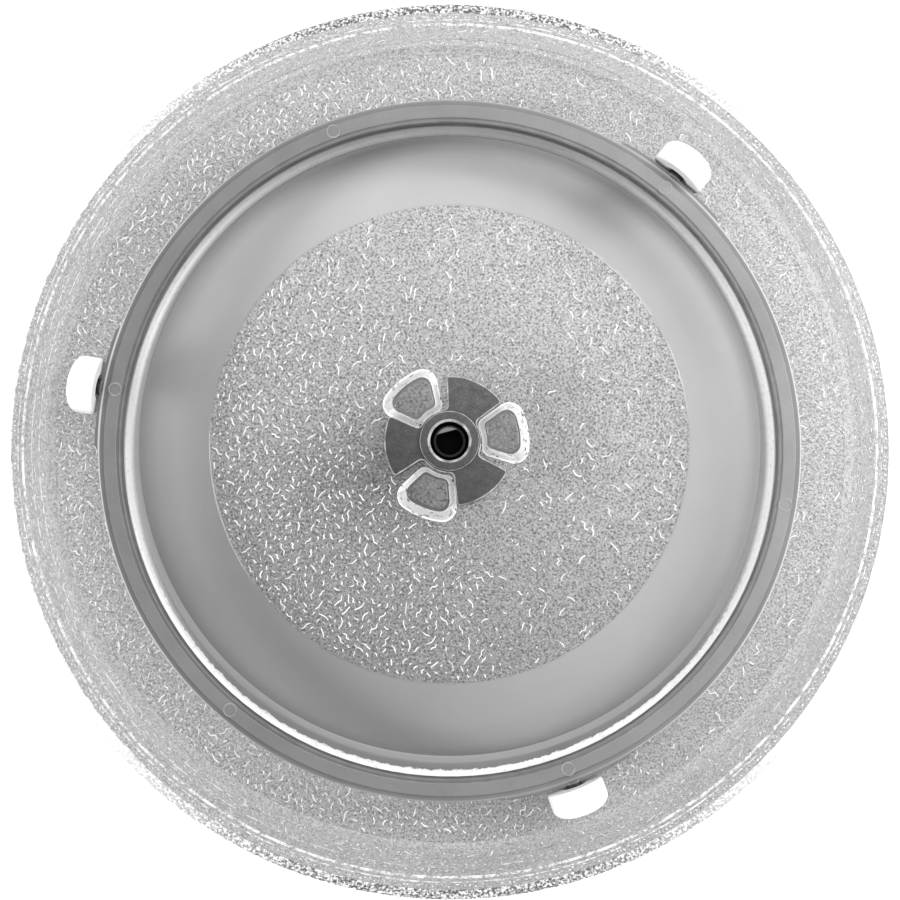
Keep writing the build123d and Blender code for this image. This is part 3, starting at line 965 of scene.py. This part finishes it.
# plate_clear darkens towards the step under the ring as painted shade and carries the ring's painted shadow; every
# side pair below sets painted light, a slow change of tone across the plate
for mat in (
    smooth_glass("plate_clear", [(24, 0.16), (62, 0.72), (72, 0.72), (77, 0.60), (80.5, 0.40), (83, 0.28), (85, 0.12), (88, 0.10)],
                 1.0, (0.28, 1.38), -0.0015, True),
    lug_glass("plate_lug_lit", 0.0),
    stroke_glass("plate_stroke"),
    grain_glass("plate_stipple", 0.07, 0.64, 900, 0.45, 0.85, 1.0, [(26, 0.9), (50, 1.0)], side=(0.38, 1.55), way=(0.35, 0.94)),
    grain_glass("plate_track", 0.20, 0.86, 900, 0.45, 0.78, 1.0, [(88, 0.95), (100, 1.0)], side=(0.92, 0.80), way=(0.95, -0.3)),
    grain_glass("plate_rim", 0.28, 0.84, 1100, 0.40, 0.60, 1.0, [(106, 0.86), (115, 0.84), (122, 0.78)], (0.10, 0.28), (0.88, 1.12),
                (-1.0, 0.35)),
    edge_glass("plate_edge"),
    smooth_glass("plate_food", [(0, 1.0), (120, 1.0)], 1.0),
    step_glass("plate_step"),
    line_glass("plate_line"),
    grain_glass("plate_lug", 0.03, 0.30, 700, 0.20, 0.85, 0.90, [(0, 1.0), (26, 1.0)]),
    sparkle_glass("plate_dot"),
    bright_glass("plate_bright"),
    lug_glass("plate_side", 0.36),
    grain_glass("plate_turn", 0.26, 0.62, 1100, 0.40, 0.30, 1.0, [(100, 1.0), (110, 1.0)], (0.10, 0.28), (0.87, 0.94)),
):
    plate.data.materials.append(mat)


def paint(node, mat):
    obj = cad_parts[node]
    if not obj.material_slots:
        obj.data.materials.append(mat)
    for slot in obj.material_slots:
        slot.material = mat


paint("roller_ring", ring_plastic("ring_grey"))
white = wheel_plastic("wheel_white")
for i in (1, 2, 3):
    paint(f"roller_wheel_{i}", white)
paint("drive_coupler", coupler_plastic("coupler_dark"))

# ---------------------------------------------------------------------------
# Floor, light and camera
# ---------------------------------------------------------------------------
scene = bpy.context.scene

floor_mesh = bpy.data.meshes.new("floor")
floor_mesh.from_pydata([(-3, -3, 0), (3, -3, 0), (3, 3, 0), (-3, 3, 0)], [], [(0, 1, 2, 3)])
floor = bpy.data.objects.new("floor", floor_mesh)
floor.location.z = -0.00006
scene.collection.objects.link(floor)
fm = Nodes("floor_pale")
fm.link(fm.ramp(fm.noise(6, 3), [(0.3, GREY(0.93)), (0.7, GREY(0.95))]), fm.bsdf.inputs["Base Color"])
fm.set(Roughness=0.8)
floor_mesh.materials.append(fm.mat)

world = bpy.data.worlds.new("studio")
scene.world = world
world.use_nodes = True
world.node_tree.nodes["Background"].inputs["Color"].default_value = (1, 1, 1, 1)
world.node_tree.nodes["Background"].inputs["Strength"].default_value = 0.86


def softbox(name, azimuth, elevation, distance, width, height, power):
    light = bpy.data.lights.new(name, "AREA")
    light.shape = "RECTANGLE"
    light.size, light.size_y = width, height
    light.energy = power
    obj = bpy.data.objects.new(name, light)
    a, e = math.radians(azimuth), math.radians(elevation)
    obj.location = (distance * math.cos(e) * math.cos(a), distance * math.cos(e) * math.sin(a), distance * math.sin(e))
    obj.rotation_euler = (-obj.location).to_track_quat("-Z", "Y").to_euler()
    scene.collection.objects.link(obj)


softbox("overhead", 50, 80, 2.2, 2.4, 2.4, 15.6)
softbox("key_left", 192, 40, 1.3, 0.30, 0.30, 4.2)
softbox("over_right", 50, 62, 2.2, 0.40, 0.40, 4.0)
softbox("near_right", 20, 42, 0.50, 0.24, 0.24, 1.3)

# camera: above the middle and a little towards the near edge
cam_data = bpy.data.cameras.new("camera")
cam = bpy.data.objects.new("camera", cam_data)
scene.collection.objects.link(cam)
scene.camera = cam
cam_data.sensor_fit = "HORIZONTAL"
cam_data.sensor_width = 36.0
cam_data.lens = 65.616
cam_data.clip_start = 0.01
cam_data.dof.use_dof = False
cam.rotation_euler = (math.radians(3.0), math.radians(0.1), 0)
cam.location = (0.000855, -0.024659, 0.450)

scene.view_settings.view_transform = "Standard"
scene.cycles.caustics_reflective = False
scene.cycles.caustics_refractive = False
scene.cycles.max_bounces = 12
scene.cycles.diffuse_bounces = 2
scene.cycles.glossy_bounces = 6
scene.cycles.transmission_bounces = 10
scene.cycles.transparent_max_bounces = 8
